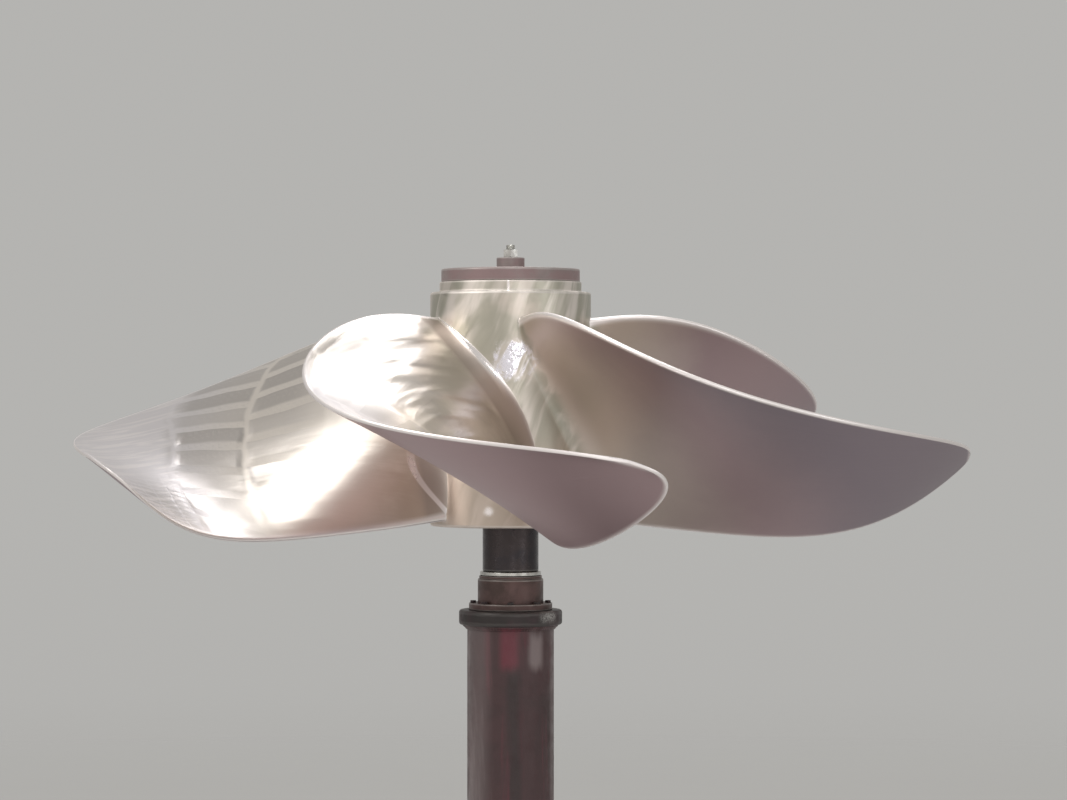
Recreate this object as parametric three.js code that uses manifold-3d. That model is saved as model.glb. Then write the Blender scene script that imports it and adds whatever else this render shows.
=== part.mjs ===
// Five-bladed left-handed ship propeller, clamped on a turning work stand.
// Millimetres, +Z up. The origin is on the floor, under the axis of the stand's post.
import * as THREE from "three";
import { ParametricGeometry } from "three/addons/geometries/ParametricGeometry.js";
import { mergeVertices } from "three/addons/utils/BufferGeometryUtils.js";
import Module from "manifold-3d";

// Propeller: heights are given from the blades' reference plane, which is this high above the floor
const PLANE_HEIGHT = 1530;
const BLADE_COUNT = 5;
const TIP_RADIUS = 800;
const FIRST_BLADE_ANGLE = 247;

// Hub: the forward end, which takes the shaft, is up
const HUB_RADIUS = 141;
const HUB_TOP = 212;
const HUB_BOTTOM = -215;
const HUB_BAND_RADIUS = 124.5;
const HUB_BAND_HEIGHT = 18;
const HUB_CHAMFER = 5;
const BORE_TOP_RADIUS = 62.5;
const BORE_TAPER = 1 / 12;
const KEYWAY_WIDTH = 32;
const KEYWAY_DEPTH = 9;

// Blade: pitch, skew, height of the reference line and chord, from the hub to the tip. The root fillet
// reaches farther along the blade than it spreads over the hub.
const PITCH_ROOT = 1520;
const PITCH_MIDDLE = 1980;
const PITCH_TIP = 1200;
const SKEW_TIP = 36;
const SKEW_POWER = 2.6;
const LINE_HEIGHT = -28;
const LINE_DROOP = 80;
const DROOP_SPAN = 0.8;
const DROOP_POWER = 1.25;
const CHORD_ROOT = 400;
const CHORD_RISE = 630;
const CHORD_FALL = 600;
const TIP_FULLNESS = 9;
const TIP_POWER = 0.45;
const THICKNESS_ROOT = 58;
const THICKNESS_TIP = 7;
const EDGE_ROOT = 10;
const EDGE_TIP = 5.5;
const SECTION_POWER = 0.8;
const CAMBER_SHARE = 0.35;
const FILLET_REACH = 58;
const FILLET_SPREAD = 27;
const END_FILLET_SHARE = 0.15;
const ROOT_DEPTH = 30;

// Clamp on top of the hub
const PLATE_RADIUS = 121.5;
const PLATE_THICKNESS = 22.5;
const SPIGOT_DEPTH = 20;
const SPACER_RADIUS = 24.5;
const SPACER_HEIGHT = 20;
const STUD_RADIUS = 8;
const STUD_END = 8;
const STUD_ENGAGEMENT = 60;
const NUT_ACROSS_FLATS = 24;
const NUT_HEIGHT = 14;

// Turning head under the hub: heights above the floor
const COLLAR_RADIUS = 49;
const COLLAR_BOTTOM = 1235;
const SHANK_RADIUS = 35;
const JOURNAL_RADIUS = 30;
const JOURNAL_BOTTOM = 1150;
const JOURNAL_CLEARANCE = 1;
const WASHER_RADIUS = 53.5;
const WASHER_THICKNESS = 6;
const RACE_RADIUS = 55;
const RACE_THICKNESS = 5;
const WASHER_CLEARANCE = 1;
const HOUSING_RADIUS = 57.5;
const HOUSING_FOOT_RADIUS = 73;
const HOUSING_FOOT_TOP = 1180;
const FLANGE_RADIUS = 90.5;
const FLANGE_TOP = 1168;
const FLANGE_THICKNESS = 26;
const FLANGE_CHAMFER = 5;
const FLANGE_BORE_RADIUS = 36;

// Post and foot
const POST_RADIUS = 76;
const POST_WALL = 10;
const BASE_WIDTH = 700;
const BASE_CORNER_RADIUS = 40;
const BASE_THICKNESS = 25;
const GUSSET_LENGTH = 210;
const GUSSET_HEIGHT = 260;
const GUSSET_THICKNESS = 14;
const GUSSET_NOSE = 30;
const GUSSET_CORNER_CUT = 18;
const GUSSET_COUNT = 4;
const ANCHOR_SPACING = 560;
const ANCHOR_HOLE_RADIUS = 14;
const ANCHOR_SHANK_RADIUS = 12;
const ANCHOR_WASHER_RADIUS = 28;
const ANCHOR_WASHER_THICKNESS = 4;
const ANCHOR_NUT_ACROSS_FLATS = 36;
const ANCHOR_NUT_HEIGHT = 20;
const ANCHOR_END = 16;

// Gap between pieces that bear on each other, and overlap of shapes that are joined or cut
const FIT = 0.3;
const OVERLAP = 1;

// Facets
const HUB_FACETS = 60;
const ROUND_FACETS = 48;
const SMALL_FACETS = 24;
const SIDE_STEPS = 10;
const FILLET_STEPS = 5;
const SPAN_STEPS = 13;
const SPAN_CROWDING = 1.7;
const LAST_STEP_SHARE = 0.35;
const CORNER_STEPS = 6;
const MERGE_DISTANCE = 1e-4;

const wasm = await Module();
wasm.setup();

const bronze = new THREE.MeshStandardMaterial({ color: 0xc9b48c, roughness: 0.32, metalness: 1 });
const redSteel = new THREE.MeshStandardMaterial({ color: 0x77635f, roughness: 0.6, metalness: 0.4 });
const brightSteel = new THREE.MeshStandardMaterial({ color: 0xa7a59c, roughness: 0.35, metalness: 1 });
const blackSteel = new THREE.MeshStandardMaterial({ color: 0x2b2c2b, roughness: 0.45, metalness: 0.8 });
const rustySteel = new THREE.MeshStandardMaterial({ color: 0x5a4136, roughness: 0.65, metalness: 0.5 });
const darkSteel = new THREE.MeshStandardMaterial({ color: 0x3f3b34, roughness: 0.6, metalness: 0.5 });
const wornRedPaint = new THREE.MeshStandardMaterial({ color: 0x6a4a46, roughness: 0.7, metalness: 0.1 });

const radians = THREE.MathUtils.degToRad;

// A closed surface with its shared corners merged and its flat triangles dropped
function closed(geometry) {
  const bare = geometry.clone();
  bare.deleteAttribute("normal");
  bare.deleteAttribute("uv");
  const merged = mergeVertices(bare, MERGE_DISTANCE);
  const index = merged.index.array;
  const kept = [];
  for (let i = 0; i < index.length; i += 3) {
    const [a, b, c] = [index[i], index[i + 1], index[i + 2]];
    if (a !== b && b !== c && c !== a) kept.push(a, b, c);
  }
  merged.setIndex(kept);
  return merged;
}

function solid(geometry) {
  const body = closed(geometry);
  const vertProperties = new Float32Array(body.attributes.position.array);
  const triVerts = new Uint32Array(body.index.array);
  return new wasm.Manifold(new wasm.Mesh({ numProp: 3, vertProperties, triVerts }));
}

function geometryOf(manifold) {
  const mesh = manifold.getMesh();
  const geometry = new THREE.BufferGeometry();
  geometry.setAttribute("position", new THREE.BufferAttribute(new Float32Array(mesh.vertProperties), 3));
  geometry.setIndex(new THREE.BufferAttribute(new Uint32Array(mesh.triVerts), 1));
  geometry.computeVertexNormals();
  return geometry;
}

// A ring or disc turned about Z from [radius, height] corners, listed from the bottom up on the outside
function turned(corners, facets) {
  const points = corners.map(([radius, height]) => new THREE.Vector2(radius, height));
  points.push(points[0].clone());
  return new THREE.LatheGeometry(points, facets).rotateX(Math.PI / 2);
}

// A solid disc of the given radius between two heights
function rod(radius, low, high, facets) {
  return new THREE.CylinderGeometry(radius, radius, high - low, facets)
    .rotateX(Math.PI / 2)
    .translate(0, 0, (low + high) / 2);
}

// A six-sided block of the given width across flats between two heights
function hexagon(acrossFlats, low, high) {
  return rod(acrossFlats / Math.sqrt(3), low, high, 6);
}

function named(name, geometry, material) {
  const mesh = new THREE.Mesh(geometry, material);
  mesh.name = name;
  return mesh;
}

// The blade's figures at a radius: pitch, skew in radians, height of the reference line, chord, and the
// thickness in the middle and at the rounded edges
function bladeAt(radius) {
  const share = radius / TIP_RADIUS;
  const span = Math.max((radius - HUB_RADIUS) / (TIP_RADIUS - HUB_RADIUS), 0);
  const pitch = PITCH_ROOT * (1 - span) * (1 - 2 * span)
    + PITCH_MIDDLE * 4 * span * (1 - span)
    + PITCH_TIP * span * (2 * span - 1);
  const droop = Math.sin((Math.PI / 2) * (span / DROOP_SPAN) ** DROOP_POWER) ** 2;
  const fullChord = CHORD_ROOT + CHORD_RISE * span - CHORD_FALL * span ** 2;
  return {
    pitch,
    skew: radians(SKEW_TIP) * span ** SKEW_POWER,
    height: LINE_HEIGHT - LINE_DROOP * droop,
    chord: fullChord * Math.max(1 - share ** TIP_FULLNESS, 0) ** TIP_POWER,
    thickness: THICKNESS_ROOT + (THICKNESS_TIP - THICKNESS_ROOT) * span,
    edge: EDGE_ROOT + (EDGE_TIP - EDGE_ROOT) * span,
  };
}

// Outline of the blade section, along the chord and across it: one side, the far edge, the other side and
// the near edge. The root fillet widens it, less at the two edges.
function sectionOutline(figures, fillet) {
  const edge = figures.edge / 2 + fillet * END_FILLET_SHARE;
  const reach = Math.max((figures.chord - figures.edge) / 2, FIT);
  const swell = (figures.thickness - figures.edge) / 2 + fillet * (1 - END_FILLET_SHARE);
  const camber = CAMBER_SHARE * figures.thickness;
  const points = [];
  for (const side of [1, -1]) {
    for (let i = 0; i <= SIDE_STEPS; i += 1) {
      const along = side * Math.cos((Math.PI * i) / SIDE_STEPS);
      const bow = Math.max(1 - along ** 2, 0);
      const across = camber * bow + side * (edge + swell * bow ** SECTION_POWER);
      points.push(new THREE.Vector2(along * reach, across));
    }
    points.push(new THREE.Vector2(-side * (reach + edge), 0));
  }
  return points;
}

// Stations from inside the hub out to the tip, each with its radius and the width of the root fillet there
function bladeStations() {
  const stations = [{ radius: HUB_RADIUS - ROOT_DEPTH, fillet: FILLET_SPREAD }];
  for (let i = 0; i <= FILLET_STEPS; i += 1) {
    const turn = (Math.PI / 2) * (1 - i / FILLET_STEPS);
    const radius = HUB_RADIUS + FILLET_REACH * (1 - Math.sin(turn));
    stations.push({ radius, fillet: FILLET_SPREAD * (1 - Math.cos(turn)) });
  }
  const start = HUB_RADIUS + FILLET_REACH;
  for (let i = 1; i <= SPAN_STEPS; i += 1) {
    const left = (1 - i / (SPAN_STEPS + LAST_STEP_SHARE)) ** SPAN_CROWDING;
    stations.push({ radius: TIP_RADIUS - (TIP_RADIUS - start) * left, fillet: 0 });
  }
  return stations;
}

// One blade, wrapped round the axis: sections on cylinders, closed by a point inside the hub and at the tip
function bladeGeometry() {
  const stations = bladeStations();
  const last = stations.length + 1;
  const count = 2 * (SIDE_STEPS + 2);
  const place = (u, v, target) => {
    const row = Math.round(v * last);
    const station = stations[THREE.MathUtils.clamp(row - 1, 0, stations.length - 1)];
    const figures = bladeAt(station.radius);
    const isCap = row === 0 || row === last;
    const point = isCap
      ? new THREE.Vector2(0, CAMBER_SHARE * figures.thickness)
      : sectionOutline(figures, station.fillet)[Math.round(u * count) % count];
    const radius = row === last ? TIP_RADIUS : station.radius;
    const slope = Math.atan(figures.pitch / (2 * Math.PI * Math.max(radius, HUB_RADIUS)));
    const around = point.x * Math.cos(slope) + point.y * Math.sin(slope);
    const turn = figures.skew + around / radius;
    target.set(
      radius * Math.cos(turn),
      radius * Math.sin(turn),
      figures.height - point.x * Math.sin(slope) + point.y * Math.cos(slope),
    );
  };
  return new ParametricGeometry(place, count, last);
}

function hubGeometry() {
  const boreBottomRadius = BORE_TOP_RADIUS - (HUB_TOP - HUB_BOTTOM) * BORE_TAPER / 2;
  return turned([
    [boreBottomRadius, HUB_BOTTOM],
    [HUB_RADIUS - HUB_CHAMFER, HUB_BOTTOM],
    [HUB_RADIUS, HUB_BOTTOM + HUB_CHAMFER],
    [HUB_RADIUS, HUB_TOP - HUB_BAND_HEIGHT - HUB_CHAMFER],
    [HUB_RADIUS - HUB_CHAMFER, HUB_TOP - HUB_BAND_HEIGHT],
    [HUB_BAND_RADIUS, HUB_TOP - HUB_BAND_HEIGHT],
    [HUB_BAND_RADIUS, HUB_TOP],
    [BORE_TOP_RADIUS, HUB_TOP],
  ], HUB_FACETS);
}

// Keyway of even depth along the tapered bore, open at both ends
function keywayGeometry() {
  const length = HUB_TOP - HUB_BOTTOM + 2 * KEYWAY_DEPTH;
  const floorRadius = BORE_TOP_RADIUS - HUB_TOP * BORE_TAPER / 2 + KEYWAY_DEPTH;
  return new THREE.BoxGeometry(floorRadius, KEYWAY_WIDTH, length)
    .translate(floorRadius / 2, 0, (HUB_TOP + HUB_BOTTOM) / 2)
    .rotateY(Math.atan(BORE_TAPER / 2));
}

// The propeller is one casting: hub, blades and root fillets in one piece
function propellerCasting() {
  const blade = solid(bladeGeometry());
  let casting = solid(hubGeometry());
  for (let i = 0; i < BLADE_COUNT; i += 1) {
    casting = casting.add(blade.rotate([0, 0, FIRST_BLADE_ANGLE + (360 / BLADE_COUNT) * i]));
  }
  casting = casting.subtract(solid(keywayGeometry()));
  const mesh = named("propeller_casting", geometryOf(casting), bronze);
  mesh.position.z = PLANE_HEIGHT;
  return mesh;
}

// Clamp plate with a spigot that centres it in the bore, then spacer, stud and nut
function clamp() {
  const group = new THREE.Group();
  const bottom = HUB_TOP + FIT;
  const top = bottom + PLATE_THICKNESS;
  const holeRadius = STUD_RADIUS + FIT;
  const spigotRadius = BORE_TOP_RADIUS - SPIGOT_DEPTH * BORE_TAPER / 2 - FIT;
  const plate = turned([
    [holeRadius, bottom - SPIGOT_DEPTH],
    [spigotRadius, bottom - SPIGOT_DEPTH],
    [spigotRadius, bottom],
    [PLATE_RADIUS, bottom],
    [PLATE_RADIUS, top],
    [holeRadius, top],
  ], ROUND_FACETS);
  const spacerTop = top + FIT + SPACER_HEIGHT;
  const spacer = turned([
    [holeRadius, top + FIT],
    [SPACER_RADIUS, top + FIT],
    [SPACER_RADIUS, spacerTop],
    [holeRadius, spacerTop],
  ], SMALL_FACETS);
  const nutTop = spacerTop + FIT + NUT_HEIGHT;
  const nut = solid(hexagon(NUT_ACROSS_FLATS, spacerTop + FIT, nutTop))
    .subtract(solid(rod(holeRadius, spacerTop, nutTop + OVERLAP, SMALL_FACETS)));
  const stud = rod(STUD_RADIUS, bottom - SPIGOT_DEPTH - STUD_ENGAGEMENT, nutTop + STUD_END, SMALL_FACETS);
  group.add(
    named("clamp_plate", plate, redSteel),
    named("clamp_spacer", spacer, redSteel),
    named("clamp_nut", geometryOf(nut), brightSteel),
    named("clamp_stud", stud, brightSteel),
  );
  group.position.z = PLANE_HEIGHT;
  return group;
}

// Mandrel that carries the hub on its collar and turns in the stand, with the washer it runs on
function turningHead() {
  const group = new THREE.Group();
  const studBottom = PLANE_HEIGHT + HUB_TOP - SPIGOT_DEPTH - STUD_ENGAGEMENT;
  const shankTop = PLANE_HEIGHT + HUB_TOP - SPIGOT_DEPTH - FIT;
  const collarTop = PLANE_HEIGHT + HUB_BOTTOM - FIT;
  const holeRadius = STUD_RADIUS + FIT;
  const mandrel = turned([
    [0, JOURNAL_BOTTOM],
    [JOURNAL_RADIUS, JOURNAL_BOTTOM],
    [JOURNAL_RADIUS, COLLAR_BOTTOM],
    [COLLAR_RADIUS, COLLAR_BOTTOM],
    [COLLAR_RADIUS, collarTop],
    [SHANK_RADIUS, collarTop],
    [SHANK_RADIUS, shankTop],
    [holeRadius, shankTop],
    [holeRadius, studBottom - FIT],
    [0, studBottom - FIT],
  ], ROUND_FACETS);
  const washerTop = COLLAR_BOTTOM - FIT;
  const washerBottom = washerTop - WASHER_THICKNESS;
  const washer = turned([
    [JOURNAL_RADIUS + FIT, washerBottom],
    [WASHER_RADIUS, washerBottom],
    [WASHER_RADIUS, washerTop],
    [JOURNAL_RADIUS + FIT, washerTop],
  ], ROUND_FACETS);
  group.add(
    named("mandrel", mandrel, blackSteel),
    named("thrust_washer", washer, brightSteel),
  );
  return group;
}

// Bearing race, housing and flange that hold the mandrel's journal upright
function bearing() {
  const group = new THREE.Group();
  const boreRadius = JOURNAL_RADIUS + JOURNAL_CLEARANCE;
  const raceTop = COLLAR_BOTTOM - FIT - WASHER_THICKNESS - WASHER_CLEARANCE;
  const raceBottom = raceTop - RACE_THICKNESS;
  const race = turned([
    [boreRadius, raceBottom],
    [RACE_RADIUS, raceBottom],
    [RACE_RADIUS, raceTop],
    [boreRadius, raceTop],
  ], ROUND_FACETS);
  const housing = turned([
    [boreRadius, FLANGE_TOP + FIT],
    [HOUSING_FOOT_RADIUS, FLANGE_TOP + FIT],
    [HOUSING_FOOT_RADIUS, HOUSING_FOOT_TOP],
    [HOUSING_RADIUS, HOUSING_FOOT_TOP],
    [HOUSING_RADIUS, raceBottom - FIT],
    [boreRadius, raceBottom - FIT],
  ], ROUND_FACETS);
  const flangeBottom = FLANGE_TOP - FLANGE_THICKNESS;
  const flange = turned([
    [FLANGE_BORE_RADIUS, flangeBottom],
    [FLANGE_RADIUS - FLANGE_CHAMFER, flangeBottom],
    [FLANGE_RADIUS, flangeBottom + FLANGE_CHAMFER],
    [FLANGE_RADIUS, FLANGE_TOP - FLANGE_CHAMFER],
    [FLANGE_RADIUS - FLANGE_CHAMFER, FLANGE_TOP],
    [FLANGE_BORE_RADIUS, FLANGE_TOP],
  ], ROUND_FACETS);
  group.add(
    named("bearing_race", race, rustySteel),
    named("bearing_housing", housing, rustySteel),
    named("head_flange", flange, darkSteel),
  );
  return group;
}

function post() {
  const bottom = BASE_THICKNESS + FIT;
  const top = FLANGE_TOP - FLANGE_THICKNESS - FIT;
  const tube = turned([
    [POST_RADIUS - POST_WALL, bottom],
    [POST_RADIUS, bottom],
    [POST_RADIUS, top],
    [POST_RADIUS - POST_WALL, top],
  ], ROUND_FACETS);
  return named("post_tube", tube, wornRedPaint);
}

// Places at the four corners of the foot
function anchorPlaces() {
  const half = ANCHOR_SPACING / 2;
  return [[1, 1], [-1, 1], [-1, -1], [1, -1]].map(([x, y]) => [x * half, y * half]);
}

function basePlate() {
  const half = BASE_WIDTH / 2;
  const inner = half - BASE_CORNER_RADIUS;
  const outline = new THREE.Shape();
  outline.absarc(inner, inner, BASE_CORNER_RADIUS, 0, Math.PI / 2);
  outline.absarc(-inner, inner, BASE_CORNER_RADIUS, Math.PI / 2, Math.PI);
  outline.absarc(-inner, -inner, BASE_CORNER_RADIUS, Math.PI, 1.5 * Math.PI);
  outline.absarc(inner, -inner, BASE_CORNER_RADIUS, 1.5 * Math.PI, 2 * Math.PI);
  for (const [x, y] of anchorPlaces()) {
    const hole = new THREE.Path();
    hole.absarc(x, y, ANCHOR_HOLE_RADIUS, 0, 2 * Math.PI, true);
    outline.holes.push(hole);
  }
  const options = { depth: BASE_THICKNESS, bevelEnabled: false, curveSegments: CORNER_STEPS };
  const plate = new THREE.ExtrudeGeometry(outline, options);
  return named("base_plate", plate, wornRedPaint);
}

// Gussets stand on the plate's centre lines and stiffen the foot of the post
function gussets() {
  const group = new THREE.Group();
  const outline = new THREE.Shape();
  outline.moveTo(GUSSET_CORNER_CUT, 0);
  outline.lineTo(GUSSET_LENGTH, 0);
  outline.lineTo(GUSSET_LENGTH, GUSSET_NOSE);
  outline.lineTo(GUSSET_NOSE, GUSSET_HEIGHT);
  outline.lineTo(0, GUSSET_HEIGHT);
  outline.lineTo(0, GUSSET_CORNER_CUT);
  const plate = new THREE.ExtrudeGeometry(outline, { depth: GUSSET_THICKNESS, bevelEnabled: false })
    .translate(POST_RADIUS + FIT, 0, -GUSSET_THICKNESS / 2)
    .rotateX(Math.PI / 2)
    .translate(0, 0, BASE_THICKNESS + FIT);
  for (let i = 0; i < GUSSET_COUNT; i += 1) {
    const gusset = named(`gusset_${i + 1}`, plate, wornRedPaint);
    gusset.rotation.z = (2 * Math.PI / GUSSET_COUNT) * i;
    group.add(gusset);
  }
  return group;
}

function anchorBolts() {
  const group = new THREE.Group();
  const seat = BASE_THICKNESS + FIT;
  const washerTop = seat + ANCHOR_WASHER_THICKNESS;
  const nutTop = washerTop + ANCHOR_NUT_HEIGHT;
  const bolt = solid(rod(ANCHOR_WASHER_RADIUS, seat, washerTop, SMALL_FACETS))
    .add(solid(hexagon(ANCHOR_NUT_ACROSS_FLATS, washerTop - OVERLAP, nutTop)))
    .add(solid(rod(ANCHOR_SHANK_RADIUS, FIT, nutTop + ANCHOR_END, SMALL_FACETS)));
  const geometry = geometryOf(bolt);
  anchorPlaces().forEach(([x, y], i) => {
    const mesh = named(`anchor_bolt_${i + 1}`, geometry, darkSteel);
    mesh.position.set(x, y, 0);
    group.add(mesh);
  });
  return group;
}

const stand = new THREE.Group();
stand.add(basePlate(), gussets(), anchorBolts(), post(), bearing());

const propeller = new THREE.Group();
propeller.add(propellerCasting(), clamp(), turningHead());

const model = new THREE.Group();
model.add(stand, propeller);

export default model;
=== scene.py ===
"""Ship propeller on a turning work stand: its finished surfaces and its studio."""
import math

import bmesh
import bpy
import numpy as np
from bpy.props import FloatProperty, FloatVectorProperty, IntProperty, PointerProperty
from bpy.types import Operator, Panel, PropertyGroup
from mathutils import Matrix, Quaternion, Vector
from mathutils.geometry import delaunay_2d_cdt


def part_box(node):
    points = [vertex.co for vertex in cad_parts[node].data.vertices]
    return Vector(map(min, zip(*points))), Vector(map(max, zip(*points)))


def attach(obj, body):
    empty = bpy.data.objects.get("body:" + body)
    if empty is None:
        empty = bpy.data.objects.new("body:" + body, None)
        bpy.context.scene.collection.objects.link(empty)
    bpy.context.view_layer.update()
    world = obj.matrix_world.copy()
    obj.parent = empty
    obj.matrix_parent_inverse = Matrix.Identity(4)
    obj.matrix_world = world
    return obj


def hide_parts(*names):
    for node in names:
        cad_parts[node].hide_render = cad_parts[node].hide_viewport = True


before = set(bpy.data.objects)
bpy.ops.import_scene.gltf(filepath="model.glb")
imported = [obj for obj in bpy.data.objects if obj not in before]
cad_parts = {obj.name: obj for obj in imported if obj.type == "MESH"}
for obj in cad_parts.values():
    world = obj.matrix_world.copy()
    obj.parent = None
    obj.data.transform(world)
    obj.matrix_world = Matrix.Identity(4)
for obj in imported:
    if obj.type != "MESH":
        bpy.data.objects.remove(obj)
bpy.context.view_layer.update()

bl_info = {
    "name": "Ship propeller on a work stand",
    "version": (1, 0, 0),
    "blender": (4, 5, 0),
    "location": "3D View > Sidebar > Propeller",
    "description": "Builds a ground bronze ship propeller with its clamp, turning head and stand",
    "category": "Object",
}

FIT = 0.0003  # gap between pieces that touch
PLANE_HEIGHT = 1.53  # of the blades' plane above the floor
MARKS = ("radius", "chord", "side", "edge", "root", "number")  # values on the casting's points


def plain(name, description, default, **kind):
    """A plain number, such as a share or a power."""
    return FloatProperty(name=name, description=description, default=default, **kind)


def length(name, description, default):
    """A size in metres."""
    return plain(name, description, default, unit="LENGTH", precision=4)


def angle(name, description, degrees):
    """An angle, given in degrees."""
    return plain(name, description, math.radians(degrees), unit="ROTATION")


def colour(name, description, default):
    """A surface colour."""
    limits = {"subtype": "COLOR", "size": 3, "min": 0.0, "max": 1.0}
    return FloatVectorProperty(name=name, description=description, default=default, **limits)


class BladeSizes(PropertyGroup):
    """Form of one blade, from the hub to the tip."""

    count: IntProperty(name="Blades", description="Blades round the hub", default=5, min=2)
    tip_radius: length("Tip radius", "From the axis to the tips", 0.8)
    first_angle: angle("First blade", "Direction of the front blade", 247)
    pitch_root: length("Pitch at the hub", "Advance in one turn at the hub", 1.52)
    pitch_middle: length("Pitch at mid span", "Advance in one turn half-way out", 1.98)
    pitch_tip: length("Pitch at the tip", "Advance in one turn at the tip", 1.2)
    skew_tip: angle("Skew", "Sweep of the tip", 36)
    skew_power: plain("Skew power", "How late the sweep begins", 2.6)
    line_height: length("Root height", "Reference line at the hub, from the blades' plane", -0.028)
    line_droop: length("Droop", "How far the reference line falls", 0.08)
    droop_span: plain("Droop span", "Share of the span to the lowest point", 0.8)
    droop_power: plain("Droop power", "How late the fall begins", 1.25)
    chord_root: length("Root chord", "Width of the blade at the hub", 0.4)
    chord_rise: length("Chord rise", "Widening over the span", 0.63)
    chord_fall: length("Chord fall", "Narrowing over the span squared", 0.6)
    tip_fullness: plain("Tip fullness", "How late the tip rounds off", 9.0)
    tip_power: plain("Tip power", "How round the tip is", 0.45)
    thickness_root: length("Root thickness", "Thickness at the hub", 0.058)
    thickness_tip: length("Tip thickness", "Thickness at the tip", 0.007)
    edge_root: length("Root edge", "Thickness of the rounded edge at the hub", 0.01)
    edge_tip: length("Tip edge", "Thickness of the rounded edge at the tip", 0.0055)
    section_power: plain("Section power", "How full the section is", 0.8)
    camber_share: plain("Camber", "Bow of the section against its thickness", 0.35)
    fillet_reach: length("Fillet reach", "How far the root fillet runs out along the blade", 0.058)
    fillet_spread: length("Fillet spread", "How far the root fillet spreads over the hub", 0.027)
    end_fillet_share: plain("End fillet", "Fillet left at the two edges", 0.15)


class HubSizes(PropertyGroup):
    """Form of the hub."""

    radius: length("Hub radius", "Outside of the hub", 0.141)
    top: length("Hub top", "Upper end, from the blades' plane", 0.212)
    bottom: length("Hub bottom", "Lower end, from the blades' plane", -0.215)
    band_radius: length("Band radius", "Step at the upper end", 0.1245)
    band_height: length("Band height", "Height of the step", 0.018)
    rounding: length("Rounding", "Radius of the hub's rims", 0.005)
    bore_radius: length("Bore radius", "Bore at the upper end", 0.0625)
    bore_taper: plain("Bore taper", "Loss of diameter over length", 1 / 12)
    grid: length("Skin grid", "Spacing of the skin between the blades", 0.0055)


class StandSizes(PropertyGroup):
    """Sizes of the stand that the packed frame does not give."""

    rim: length("Rim", "Rounding of turned rims", 0.0015)
    shank_radius: length("Shank radius", "Mandrel inside the hub", 0.035)
    journal_radius: length("Journal radius", "Mandrel inside the bearing", 0.03)
    journal_clearance: length("Journal clearance", "Room round the journal", 0.001)
    housing_radius: length("Housing radius", "Neck of the bearing housing", 0.0575)
    housing_foot: length("Housing foot", "Height of the housing's foot", 0.0117)
    post_wall: length("Post wall", "Wall of the post tube", 0.01)
    corner_radius: length("Foot corners", "Corner radius of the foot plate", 0.04)
    gusset_nose: length("Gusset nose", "Height of a gusset's outer end", 0.03)
    gusset_cut: length("Gusset corner cut", "Room for the weld behind a gusset", 0.018)
    anchor_spacing: length("Anchor spacing", "Between two anchor bolts", 0.56)
    anchor_radius: length("Anchor radius", "Thread of the anchor bolts", 0.012)
    anchor_washer: length("Anchor washer", "Thickness of the washers", 0.004)
    anchor_nut: length("Anchor nut", "Height of the nuts", 0.02)
    anchor_across: length("Anchor nut width", "Nuts across their flats", 0.036)
    anchor_hole: length("Anchor hole", "Radius of the holes in the foot plate", 0.014)
    weld: length("Weld", "Leg of the weld beads", 0.008)
    ripple: length("Ripple", "Spacing of the ripples on a weld", 0.005)
    screw_count: IntProperty(name="Screws", description="Screws in the housing's foot", default=8)
    screw_across: length("Screw head", "Width across flats of the screws", 0.01)
    screw_head: length("Screw height", "Height of the screw heads", 0.004)
    screw_ring: length("Screw ring", "Radius of the ring of screws", 0.0655)


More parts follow.
